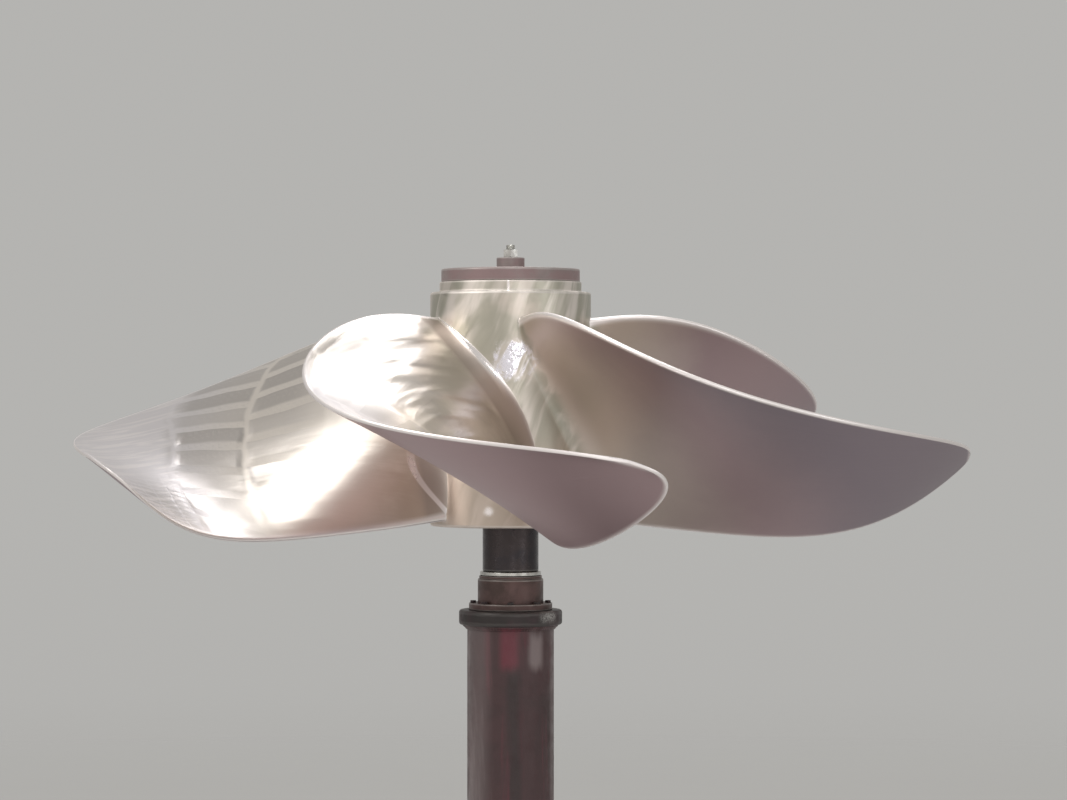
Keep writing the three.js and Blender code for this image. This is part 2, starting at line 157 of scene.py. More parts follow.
class FinishColours(PropertyGroup):
    """Colours of the finishes."""

    bronze: colour("Ground bronze", "Freshly ground faces", (0.8, 0.74, 0.68))
    bronze_grey: colour("Grey bronze", "Flats between the fresh bands", (0.45, 0.42, 0.4))
    # Tan bronze is also laid low on the hub as painted shade.
    bronze_warm_and_shade: colour("Tan bronze", "Roots, left rougher", (0.56, 0.46, 0.39))
    bronze_lilac: colour("Lilac bronze", "Cool sheen towards the tips", (0.72, 0.7, 0.75))
    # Bright bronze also paints highlights: the light line and crease on the root fillets and the
    # glint on the hub.
    bronze_bright_and_highlight: colour("Bright bronze", "Rubbed edges and fresh spots", (0.94, 0.89, 0.88))
    # Fresh bronze paints a lilac-white reflection on the polished patch on the hub.
    bronze_fresh_and_glint: colour("Fresh bronze", "Fresh patch on the hub", (0.8, 0.8, 0.9))
    # Brown bronze is painted shade in the root fillets.
    bronze_fillet_shade: colour("Brown bronze", "Root fillets above", (0.46, 0.39, 0.35))
    bronze_green: colour("Green-grey bronze", "Darker strips on the hub", (0.46, 0.44, 0.37))
    # The dull and tarnished underside colours are also darkened as painted shade, standing in for
    # the dark floor that the undersides reflect.
    bronze_dull_and_shade: colour("Dull bronze", "Unpolished undersides", (0.48, 0.36, 0.375))
    bronze_tarnish_and_shade: colour("Tarnished bronze", "Outer undersides", (0.3, 0.25, 0.285))
    bronze_beige: colour("Beige bronze", "Undersides beside the hub", (0.76, 0.665, 0.6))
    red_brown: colour("Red-brown", "Clamp plate and spacer", (0.255, 0.21, 0.203))
    red_brown_dark: colour("Dark red-brown", "Patches on the clamp plate", (0.27, 0.19, 0.19))
    bright: colour("Bright steel", "Nut, stud and washer", (0.62, 0.62, 0.59))
    bright_dull: colour("Dulled steel", "Patches on the bright pieces", (0.42, 0.41, 0.39))
    black: colour("Black steel", "Mandrel", (0.046, 0.044, 0.05))
    black_brown: colour("Browned steel", "Patches on the mandrel", (0.062, 0.052, 0.053))
    rust: colour("Rusty steel", "Bearing housing", (0.12, 0.073, 0.068))
    rust_dark: colour("Dark rust", "Patches on the bearing housing", (0.07, 0.045, 0.04))
    dark: colour("Dark steel", "Flange and anchor bolts", (0.04, 0.034, 0.033))
    dark_brown: colour("Brown steel", "Patches on the flange", (0.05, 0.032, 0.035))
    paint: colour("Red oxide", "Post and foot", (0.062, 0.03, 0.032))
    # The dark stain is also painted shade down the middle of the post's front.
    paint_dark_and_shade: colour("Dark stain", "Oil and dirt on the post", (0.03, 0.02, 0.02))
    # Rubbed paint is also painted highlight on the post's sides and a painted reflection near its
    # top.
    paint_pale_and_highlight: colour("Rubbed paint", "Pale patches on the post", (0.3, 0.25, 0.25))
    paint_crimson: colour("Crimson", "Streaks of newer paint", (0.165, 0.03, 0.047))


class StudioSettings(PropertyGroup):
    """Camera, floor and surroundings."""

    camera_distance: length("Camera distance", "From the axis", 5.779)
    camera_height: length("Camera height", "Above the floor", 1.546)
    lens: plain("Lens", "Focal length in millimetres", 111.1)
    shift_x: plain("Shift X", "Framing to the side", 0.0215)
    shift_y: plain("Shift Y", "Framing up and down", -0.0057)
    floor: colour("Floor", "Pale floor", (0.72, 0.72, 0.71))
    backdrop: colour("Backdrop", "Surroundings at eye level", (0.46, 0.455, 0.44))
    front: colour("Front", "Surroundings on the camera's side", (0.8, 0.77, 0.74))
    ceiling: colour("Ceiling", "Surroundings overhead", (0.55, 0.54, 0.52))
    ground: colour("Ground", "Surroundings underfoot", (0.3, 0.28, 0.28))


# Geometry


def circle(count):
    """Directions evenly round a circle."""
    return 2 * math.pi * np.arange(count) / count


def ring(radius, turns, height, centre=(0.0, 0.0)):
    """Points about an upright line, at one height or at a height each."""
    x, y = centre[0] + radius * np.cos(turns), centre[1] + radius * np.sin(turns)
    return list(zip(x, y, np.broadcast_to(height, x.shape)))


def bands(rows, count, closed=False):
    """Faces between rows of points, each row a ring of as many points."""
    faces = []
    for i in range(rows if closed else rows - 1):
        here, there = i * count, (i + 1) % rows * count
        for k in range(count):
            m = (k + 1) % count
            faces.append((here + k, here + m, there + m, there + k))
    return faces


def shell(rows, segments, centre=(0.0, 0.0), closed=True):
    """A part of rings about an upright line, from (radius, height, wear) rows."""
    points, wear = [], []
    for radius, height, worn in rows:
        points += ring(radius, circle(segments), height, centre)
        wear += [*np.broadcast_to(worn, segments)]
    return points, bands(len(rows), segments, closed), {"wear": wear}


def joined(name, parts, keys=("wear",), sharp=35.0):
    """One smooth object from parts: points, faces and values by name, nought where left out."""
    points, faces, marks = [], [], {key: [] for key in keys}
    for part_points, part_faces, values in parts:
        start = len(points)
        points += [tuple(p) for p in part_points]
        faces += [tuple(start + i for i in face) for face in part_faces]
        for key in keys:
            marks[key] += list(values.get(key, [0.0] * len(part_points)))
    mesh = bpy.data.meshes.new(name)
    mesh.from_pydata(points, [], faces)
    for key in keys:
        layer = mesh.attributes.new(key, "FLOAT", "POINT")
        layer.data.foreach_set("value", np.asarray(marks[key], np.float32))
    whole = bmesh.new()
    whole.from_mesh(mesh)
    bmesh.ops.remove_doubles(whole, verts=whole.verts, dist=1e-6)
    bmesh.ops.recalc_face_normals(whole, faces=whole.faces)
    whole.to_mesh(mesh)
    whole.free()
    mesh.shade_smooth()
    mesh.set_sharp_from_angle(angle=math.radians(sharp))
    piece = bpy.data.objects.new(name, mesh)
    bpy.context.scene.collection.objects.link(piece)
    return piece


def place(piece, body, slot, *nodes, scuff=None):
    """Dress a piece, tie it to its body and let it stand for its nodes."""
    piece.data.materials.append(finish(slot, scuff))
    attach(piece, body)
    if nodes:
        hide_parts(*nodes)


def rounded(corners, steps=4, closed=True):
    """An outline of (radius, height, rounding) corners with arcs, as (radius, height, wear)."""
    # The most of a shared side that an arc takes, and where the extra point past an arc lies
    most, beyond = 0.45, 1.9
    outline, count = [], len(corners)
    for i, (x, z, rounding) in enumerate(corners):
        if rounding <= 0 or (not closed and i in (0, count - 1)):
            outline.append((x, z, 0.0))
            continue
        here = np.array((x, z))
        arms = []
        for neighbour in (corners[i - 1], corners[(i + 1) % count]):
            arm = np.array(neighbour[:2]) - here
            size = np.linalg.norm(arm)
            shared = neighbour[2] > 0
            arms.append((arm / size, most * size if shared else size, size / 2 if shared else size))
        reach = min(rounding, arms[0][1], arms[1][1])
        start, end = (here + arm * reach for arm, *_ in arms)
        loops = [here + arm * min(beyond * reach, limit) for arm, _, limit in arms]
        outline.append((*loops[0], 0.0))
        for t in np.arange(steps + 1) / steps:
            point = (1 - t) ** 2 * start + 2 * t * (1 - t) * here + t**2 * end
            outline.append((*point, 1.0))
        outline.append((*loops[1], 0.0))
    return outline


def turned_part(corners, segments=96, centre=(0.0, 0.0)):
    """A closed ring or disc, turned about an upright line."""
    outline = rounded(corners)
    points, quads, marks = shell(outline, segments, centre)
    on_axis = np.repeat([radius == 0 for radius, *_ in outline], segments)
    faces = []
    for a, b, c, d in quads:
        if not (on_axis[a] and on_axis[d]):
            faces.append((a, c, d) if on_axis[a] else (a, b, d) if on_axis[d] else (a, b, c, d))
    return points, faces, marks


def turned(name, corners, segments=96):
    """An object of one turned part."""
    return joined(name, [turned_part(corners, segments)])


def blade_figures(blade, hub, radius):
    """Pitch, skew, height of the reference line, chord and thicknesses of a blade at a radius."""
    share_out = radius / blade.tip_radius
    span = max((radius - hub.radius) / (blade.tip_radius - hub.radius), 0.0)
    pitch = (
        blade.pitch_root * (1 - span) * (1 - 2 * span)
        + blade.pitch_middle * 4 * span * (1 - span)
        + blade.pitch_tip * span * (2 * span - 1)
    )
    fall = math.sin(math.pi / 2 * (span / blade.droop_span) ** blade.droop_power) ** 2
    full_chord = blade.chord_root + blade.chord_rise * span - blade.chord_fall * span**2
    return {
        "pitch": pitch,
        "skew": blade.skew_tip * span**blade.skew_power,
        "height": blade.line_height - blade.line_droop * fall,
        "chord": full_chord * max(1 - share_out**blade.tip_fullness, 0.0) ** blade.tip_power,
        "thickness": blade.thickness_root + (blade.thickness_tip - blade.thickness_root) * span,
        "edge": blade.edge_root + (blade.edge_tip - blade.edge_root) * span,
        "to_tip": blade.tip_radius - radius,
    }


def blade_section(blade, figures, fillet, side_steps=36, edge_steps=6):
    """Outline of a section, once round: rows of (along the chord, across it, side, edge)."""
    shine = 0.006  # width of the rubbed strip beside the edge
    to_tip = min(figures["to_tip"] / (blade.edge_tip / 2), 1.0)
    tip_round = math.sqrt(to_tip * (2 - to_tip))
    end = (figures["edge"] / 2 + fillet * blade.end_fillet_share) * tip_round
    reach = max((figures["chord"] - figures["edge"]) / 2, FIT)
    half = (figures["thickness"] - figures["edge"]) / 2
    swell = (half + fillet * (1 - blade.end_fillet_share)) * tip_round
    bow = blade.camber_share * figures["thickness"]
    rows = []
    for side in (1, -1):
        for i in range(side_steps + 1):
            w = side * math.cos(math.pi * i / side_steps)
            room = max(1 - w * w, 0.0)
            across = bow * room + side * (end + swell * room**blade.section_power)
            to_edge = min(reach * (1 - abs(w)), figures["to_tip"])
            rows.append((w * reach, across, float(side), max(1 - to_edge / shine, 0.0)))
        for i in range(1, edge_steps):
            turn = side * math.pi / 2 + math.pi * i / edge_steps
            rows.append((-side * reach + end * math.cos(turn), end * math.sin(turn), 0.0, 1.0))
    return np.array(rows)


def wrap(hub, radius, figures, outline):
    """A section on its unrolled cylinder: distance round at that radius, height and slope."""
    slope = math.atan(figures["pitch"] / (2 * math.pi * max(radius, hub.radius)))
    along, across = outline[:, 0], outline[:, 1]
    around = along * math.cos(slope) + across * math.sin(slope) + figures["skew"] * radius
    height = figures["height"] - along * math.sin(slope) + across * math.cos(slope)
    return around, height, slope


def blade_stations(blade, hub):
    """Radii and fillet widths from the hub to the tip, closer together at both ends."""
    fillet_steps, span_steps, tip_steps = 12, 50, 24
    tip_start, last_share = 0.9, 0.3
    stations = []
    for i in range(fillet_steps + 1):
        turn = math.pi / 2 * (1 - i / fillet_steps)
        radius = hub.radius + blade.fillet_reach * (1 - math.sin(turn))
        stations.append((radius, blade.fillet_spread * (1 - math.cos(turn))))
    first, last = hub.radius + blade.fillet_reach, blade.tip_radius * tip_start
    for i in range(1, span_steps + 1):
        stations.append((first + (last - first) * i / span_steps, 0.0))
    narrowing = (1 - tip_start**blade.tip_fullness) ** blade.tip_power
    for i in range(1, tip_steps + 1):
        chord_share = narrowing * (1 - i / (tip_steps + last_share))
        share_out = (1 - chord_share ** (1 / blade.tip_power)) ** (1 / blade.tip_fullness)
        stations.append((blade.tip_radius * share_out, 0.0))
    return stations


def blade_part(blade, hub, number):
    """One blade, open where it meets the hub."""
    direction = blade.first_angle + 2 * math.pi * number / blade.count
    points, marks = [], []
    stations = blade_stations(blade, hub)
    for radius, fillet in stations:
        figures = blade_figures(blade, hub, radius)
        outline = blade_section(blade, figures, fillet)
        around, height, _ = wrap(hub, radius, figures, outline)
        root = fillet / blade.fillet_spread
        points += ring(radius, direction + around / radius, PLANE_HEIGHT + height)
        for along, _, side, edge in outline:
            marks.append((radius, along, side * (1 - root), edge, root, number + 1))
    end = tuple(range(len(points) - len(outline), len(points)))
    return points, [*bands(len(stations), len(outline)), end], dict(zip(MARKS, zip(*marks)))


def inside(points, polygon):
    """Which points lie inside a closed polygon."""
    x, y = points[:, 0][:, None], points[:, 1][:, None]
    x1, y1 = polygon[:, 0][None], polygon[:, 1][None]
    x2, y2 = np.roll(x1, -1), np.roll(y1, -1)
    crosses = (y1 > y) != (y2 > y)
    rise = np.where(y2 == y1, 1.0, y2 - y1)
    return (crosses & (x < (x2 - x1) * (y - y1) / rise + x1)).sum(1) % 2 == 1


def distance(points, polygon):
    """Distance from each point to the sides of a closed polygon."""
    along = np.roll(polygon, -1, axis=0) - polygon
    square = np.maximum((along**2).sum(1), 1e-18)
    gap = points[:, None, :] - polygon[None]
    t = np.clip((gap * along[None]).sum(2) / square[None], 0, 1)
    return np.linalg.norm(gap - t[..., None] * along[None], axis=2).min(1)


def filled(border, holes, grid, margin):
    """Triangles between a border and its holes, through the grid points that lie clear of both."""
    grid = np.array(grid).reshape(-1, 2)
    if len(grid):
        clear = inside(grid, border) & (distance(grid, border) > margin)
        for hole in holes:
            clear &= ~inside(grid, hole) & (distance(grid, hole) > margin)
        grid = grid[clear]
    coords, edges = [], []
    for loop in (border, *holes):
        start, count = len(coords), len(loop)
        coords += [Vector(p) for p in loop]
        edges += [(start + i, start + (i + 1) % count) for i in range(count)]
    coords += [Vector(p) for p in grid]
    points, _, triangles, *_ = delaunay_2d_cdt(coords, edges, [], 0, 1e-7)
    points = np.array([tuple(v) for v in points])
    centres = np.array([points[list(t)].mean(0) for t in triangles])
    good = inside(centres, border)
    for hole in holes:
        good &= ~inside(centres, hole)
    return points, [t for t, g in zip(triangles, good) if g]


def hub_skin_limits(hub):
    """Lowest and highest level of the hub's plain round skin."""
    return hub.bottom + hub.rounding, hub.top - hub.band_height - hub.rounding


def hub_sector(blade, hub):
    """Skin of one blade's share of the hub, without the blade's root, and where its seam runs."""
    rows, columns = 84, 36
    figures = blade_figures(blade, hub, hub.radius)
    outline = blade_section(blade, figures, blade.fillet_spread)
    around, height, slope = wrap(hub, hub.radius, figures, outline)
    lean = 1 / math.tan(slope)
    pitch = 2 * math.pi * hub.radius / blade.count
    across = (outline[:, 1].max() + outline[:, 1].min() + pitch * math.sin(slope)) / 2
    right = across / math.sin(slope) + lean * figures["height"]
    low, high = hub_skin_limits(hub)
    z = np.linspace(low, high, rows + 1)
    x = np.linspace(right - pitch, right, columns + 1)
    border = np.vstack([
        np.column_stack([x[:-1], np.full(columns, low)]),
        np.column_stack([np.full(rows, right), z[:-1]]),
        np.column_stack([x[:0:-1], np.full(columns, high)]),
        np.column_stack([np.full(rows, right - pitch), z[:0:-1]]),
    ])
    hole = np.column_stack([around + lean * height, height])
    step, row_share, clear_share = hub.grid, 0.87, 0.55
    grid = []
    for j, up in enumerate(np.arange(low, high, step * row_share)):
        shift = step / 2 if j % 2 else 0.0
        grid += [(along, up) for along in np.arange(right - pitch + shift, right, step)]
    points, faces = filled(border, [hole], grid, step * clear_share)
    round_way, level = points[:, 0] - lean * points[:, 1], points[:, 1]
    marks = {
        "radius": np.full(len(points), hub.radius),
        "chord": round_way * math.cos(slope) - (level - figures["height"]) * math.sin(slope),
        "root": np.ones(len(points)),
    }
    return round_way, level, faces, marks, (right - lean * low, right - lean * high, columns)


def hub_ends(blade, hub, seam):
    """Rims, end faces and bore of the hub, joined to the rows of its skin."""
    low, high = hub_skin_limits(hub)
    shoulder = hub.top - hub.band_height
    bore_bottom = hub.bore_radius - (hub.top - hub.bottom) * hub.bore_taper / 2
    small_share = 0.4
    small = hub.rounding * small_share
    corners = [
        (hub.radius, low, 0.0),
        (hub.radius, hub.bottom, hub.rounding),
        (bore_bottom, hub.bottom, small),
        (hub.bore_radius, hub.top, small),
        (hub.band_radius, hub.top, small),
        (hub.band_radius, shoulder, small),
        (hub.radius, shoulder, hub.rounding),
        (hub.radius, high, 0.0),
    ]
    profile = rounded(corners, 5, closed=False)
    low_start, high_start, columns = seam
    segments = columns * blade.count
    step = 2 * math.pi / segments
    start = blade.first_angle + low_start / hub.radius
    twist = math.remainder((high_start - low_start) / hub.radius, step)
    points, marks = [], []
    for i, (radius, height, worn) in enumerate(profile):
        turns = start + twist * i / (len(profile) - 1) + step * np.arange(segments)
        points += ring(radius, turns, PLANE_HEIGHT + height)
        marks += [(radius, worn, 1.0)] * segments
    return points, bands(len(profile), segments), dict(zip(("radius", "edge", "root"), zip(*marks)))


class PROPELLER_OT_casting(Operator):
    """Build the propeller casting: hub, blades and root fillets in one skin"""

    bl_idname = "propeller.make_casting"
    bl_label = "Casting"

    def execute(self, context):
        blade, hub = context.scene.propeller_blade, context.scene.propeller_hub
        round_way, level, faces, marks, seam = hub_sector(blade, hub)
        parts = []
        for number in range(blade.count):
            turn = blade.first_angle + 2 * math.pi * number / blade.count + round_way / hub.radius
            skin = ring(hub.radius, turn, PLANE_HEIGHT + level)
            parts += [blade_part(blade, hub, number), (skin, faces, marks)]
        parts.append(hub_ends(blade, hub, seam))
        piece = joined("propeller_casting_ground", parts, MARKS, sharp=40.0)
        place(piece, "propeller", "ground_bronze", "propeller_casting")
        return {"FINISHED"}


# Shader nodes


def arithmetic(operation, swapped=False):
    """An operator of Value that adds a Math node."""

    def operator(self, other):
        pair = (other, self) if swapped else (self, other)
        return self.graph.math(operation, *pair)

    return operator


class Value:
    """A node's output, so that sums and products of values are written as such."""

    def __init__(self, graph, socket):
        self.graph, self.socket = graph, socket

    __add__, __radd__ = arithmetic("ADD"), arithmetic("ADD", swapped=True)
    __sub__, __rsub__ = arithmetic("SUBTRACT"), arithmetic("SUBTRACT", swapped=True)
    __mul__, __truediv__ = arithmetic("MULTIPLY"), arithmetic("DIVIDE")

    def step(self, low, high, to_low=0.0, to_high=1.0):
        """A smooth step from one value to another, by default from nought to one."""
        ends, smooth = (low, high, to_low, to_high), "SMOOTHSTEP"
        return self.graph.node("ShaderNodeMapRange", self, *ends, interpolation_type=smooth)

    def off(self, centre):
        """How far the value is from a centre."""
        return self.graph.math("ABSOLUTE", self - centre)

    def swing(self, scale):
        """Noise swung about nought."""
        return (self - 0.5) * scale


class Graph:
    """Short calls that add shader nodes to a tree and wire them."""

    def __init__(self, tree):
        self.tree = tree

    def link(self, source, socket):
        """Feed a socket with a node's output, a number, a vector or a colour."""
        if isinstance(source, Value):
            self.tree.links.new(source.socket, socket)
        elif socket.type == "RGBA":
            socket.default_value = (*source[:3], 1.0)
        else:
            socket.default_value = source

    def node(self, kind, *sources, inputs=(), out=0, **settings):
        """An output of a new node: its first inputs in order, others by name or number."""
        made = self.tree.nodes.new(kind)
        for key, value in settings.items():
            setattr(made, key, value)
        for key, source in (*enumerate(sources), *dict(inputs).items()):
            self.link(source, made.inputs[key])
        return Value(self, made.outputs[out])

    def math(self, operation, *values, clamp=False):
        return self.node("ShaderNodeMath", *values, operation=operation, use_clamp=clamp)

    def most(self, first, *others):
        """The largest of several values."""
        for other in others:
            first = self.math("MAXIMUM", first, other)
        return first

    def vector(self, operation, first, second=(0.0, 0.0, 0.0)):
        out = "Value" if operation == "LENGTH" else "Vector"
        return self.node("ShaderNodeVectorMath", first, second, operation=operation, out=out)

    def scaled(self, vector, scale):
        settings = {"operation": "SCALE", "inputs": {"Scale": scale}}
        return self.node("ShaderNodeVectorMath", vector, **settings)

    def combine(self, x, y, z):
        return self.node("ShaderNodeCombineXYZ", x, y, z)

    def separate(self, vector):
        first = self.node("ShaderNodeSeparateXYZ", vector)
        return [Value(self, socket) for socket in first.socket.node.outputs]

    def turn(self, vector, angle):
        """A vector turned about the Z axis."""
        settings = {"rotation_type": "Z_AXIS", "inputs": {"Angle": angle}}
        return self.node("ShaderNodeVectorRotate", vector, **settings)

    def position(self):
        return self.node("ShaderNodeTexCoord", out="Object")

    def mark(self, name):
        return self.node("ShaderNodeAttribute", attribute_name=name, out="Fac")

    def noise(self, vector, scale, detail=3.0, roughness=0.55, distortion=0.0):
        inputs = {"Scale": scale, "Detail": detail, "Roughness": roughness}
        inputs["Distortion"] = distortion
        return self.node("ShaderNodeTexNoise", vector, inputs=inputs, out="Fac")

    def white_noise(self, vector, dimensions):
        settings = {"noise_dimensions": dimensions, "out": "Value"}
        return self.node("ShaderNodeTexWhiteNoise", vector, **settings)

    def mix(self, factor, first, second):
        inputs = {6: first, 7: second}
        return self.node("ShaderNodeMix", factor, data_type="RGBA", inputs=inputs, out=2)

    def cover(self, base, *layers):
        """A colour under (mask, colour) layers, from the lowest to the highest."""
        for mask, tint in layers:
            base = self.mix(mask, base, tint)
        return base

    def bump(self, height, strength, distance, normal=None):
        inputs = {"Strength": strength, "Distance": distance, "Height": height}
        if normal is not None:
            inputs["Normal"] = normal
        return self.node("ShaderNodeBump", inputs=inputs)


def label(key):
    """A socket's name, from the name of an argument."""
    return key.replace("_", " ").capitalize()


def make_group(name, outputs, inputs, build):
    """A shader node group, its inputs handed to a builder by name. A vector has no default."""
    tree = bpy.data.node_groups.new(name, "ShaderNodeTree")
    for key, default in inputs.items():
        plain_kind = "NodeSocketVector" if default is None else "NodeSocketFloat"
        kind = "NodeSocketColor" if isinstance(default, tuple) else plain_kind
        socket = tree.interface.new_socket(label(key), in_out="INPUT", socket_type=kind)
        if default is not None:
            socket.default_value = default
    for key in outputs:
        kind = "NodeSocketColor" if key == "Colour" else "NodeSocketFloat"
        tree.interface.new_socket(key, in_out="OUTPUT", socket_type=kind)
    g, entry = Graph(tree), tree.nodes.new("NodeGroupInput")
    leave = tree.nodes.new("NodeGroupOutput")
    sources = {key: Value(g, entry.outputs[label(key)]) for key in inputs}
    for key, source in zip(outputs, build(g, **sources)):
        g.link(source, leave.inputs[key])


def effect(name, outputs, **inputs):
    """Make a builder of nodes a shader node group, built once and placed with its own values."""

    def decorate(build):
        def placed(graph, **values):
            if name not in bpy.data.node_groups:
                make_group(name, outputs, inputs, build)
            settings = {"node_tree": bpy.data.node_groups[name]}
            settings["inputs"] = {label(key): source for key, source in values.items()}
            first = graph.node("ShaderNodeGroup", **settings)
            return {socket.name: Value(graph, socket) for socket in first.socket.node.outputs}

        return placed

    return decorate


@effect("Worn edges", ["Mask"], vector=None, wear=0.0, amount=1.0)
def worn_edges(g, vector, wear, amount):
    """Mask of rubbed rims, broken up by noise."""
    spread = wear + g.noise(vector, 60.0, 4.0).swing(0.9)
    return [spread.step(0.35, 0.8) * amount]


@effect(
    "Patches", ["Colour", "Mask"],
    vector=None, scale=8.0, first=(0.5, 0.5, 0.5, 1.0), second=(0.3, 0.3, 0.3, 1.0),
)
def patches(g, vector, scale, first, second):
    """Soft patches between two colours, with a mask."""
    mask = g.noise(g.scaled(vector, scale), 1.0, 5.0, 0.6, 0.4).step(0.4, 0.62)
    return [g.mix(mask, first, second), mask]


@effect("Turning marks", ["Height"], vector=None)
def turning_marks(g, vector):
    """Fine rings left by a lathe, as a height."""
    fineness = 900.0
    x, y, z = g.separate(vector)
    radius = g.math("SQRT", x * x + y * y)
    return [g.noise(g.combine(radius * fineness, z * fineness, 0.0), 1.0, 2.0, 0.7)]


@effect("Grain", ["Height", "Mask"], vector=None, scale=60.0)
def grain(g, vector, scale):
    """Fine pitting and grime over a surface, as a height and a mask."""
    place_in = g.scaled(vector, scale)
    return [g.noise(place_in, 9.0, 4.0, 0.65), g.noise(place_in, 1.3, 4.0, 0.6).step(0.35, 0.7)]


@effect(
    "Upright strip", ["Mask"],
    vector=None, wander=0.0, direction=0.0, half_width=0.2, low=0.0, high=1.0,
)
def upright_strip(g, vector, wander, direction, half_width, low, high):
    """Mask of an upright strip of a round part, which faces a direction between two levels."""
    soft_end = 0.012
    x, y, z = g.separate(vector)
    beside = (g.math("ARCTAN2", y, x) + wander).off(direction).step(half_width, half_width * 0.3)
    level = z + wander * 0.15
    above = level.step(low - soft_end, low + soft_end)
    below = level.step(high + soft_end, high - soft_end)
    return [beside * (above * below)]


@effect(
    "Grinder strokes", ["Height", "Band", "Tone"],
    across=0.0, along=0.0, number=0.0, width=0.07, length=0.11,
)
def strokes(g, across, along, number, width, length):
    """Grinder strokes side by side in columns: a height, their fresh bands and a tone for each."""
    run = along / length
    column = g.math("FLOOR", run)
    row = across / width + g.white_noise(g.combine(column, number, 0.0), "2D")
    tone = g.white_noise(g.combine(g.math("FLOOR", row), column, number), "3D")
    place_in, middle = g.math("FRACT", row), g.math("FRACT", run).off(0.5)
    hollow = g.math("SMOOTH_MIN", place_in / 0.68, (1 - place_in) / 0.32, 0.3)
    sunk = hollow * (1 - middle.step(0.38, 0.5))
    height = sunk * (0.5 + tone) * (width * -1.0)
    return [height, g.most(place_in.step(0.6, 0.76), middle.step(0.44, 0.49)), tone]


# Finishes


def new_material(name):
    """A material, its graph and the inputs of its surface shader."""
    material = bpy.data.materials.new(f"{name}_finish")
    material.use_nodes = True
    shader = next(n for n in material.node_tree.nodes if n.type == "BSDF_PRINCIPLED")
    return material, Graph(material.node_tree), shader.inputs


def steel(name, base, second, roughness, metallic, wear, patch_scale, bare, scuff=None):
    """Turned or rolled steel with patches, rubbed rims and lathe marks, perhaps with a scuff."""
    material, g, surface = new_material(name)
    place_in = g.position()
    patch = patches(g, vector=place_in, scale=patch_scale, first=base, second=second)
    rubbed = worn_edges(g, vector=place_in, wear=g.mark("wear"), amount=wear)["Mask"]
    dirt = grain(g, vector=place_in, scale=45.0)
    if scuff:
        spot = upright_strip(g, vector=place_in, **scuff)["Mask"]
        rubbed = g.most(rubbed, spot * dirt["Height"].step(0.35, 0.6))
    g.link(g.mix(rubbed, patch["Colour"], bare), surface["Base Color"])
    g.link(roughness + dirt["Mask"] * 0.16 - rubbed * 0.22, surface["Roughness"])
    shine = g.math("ADD", metallic, rubbed * (0.9 - metallic), clamp=True)
    g.link(shine, surface["Metallic"])
    fine = g.bump(dirt["Height"], 0.25, 0.0006)
    rings = turning_marks(g, vector=place_in)["Height"]
    g.link(g.bump(rings, 0.15, 0.0004, fine), surface["Normal"])
    return material


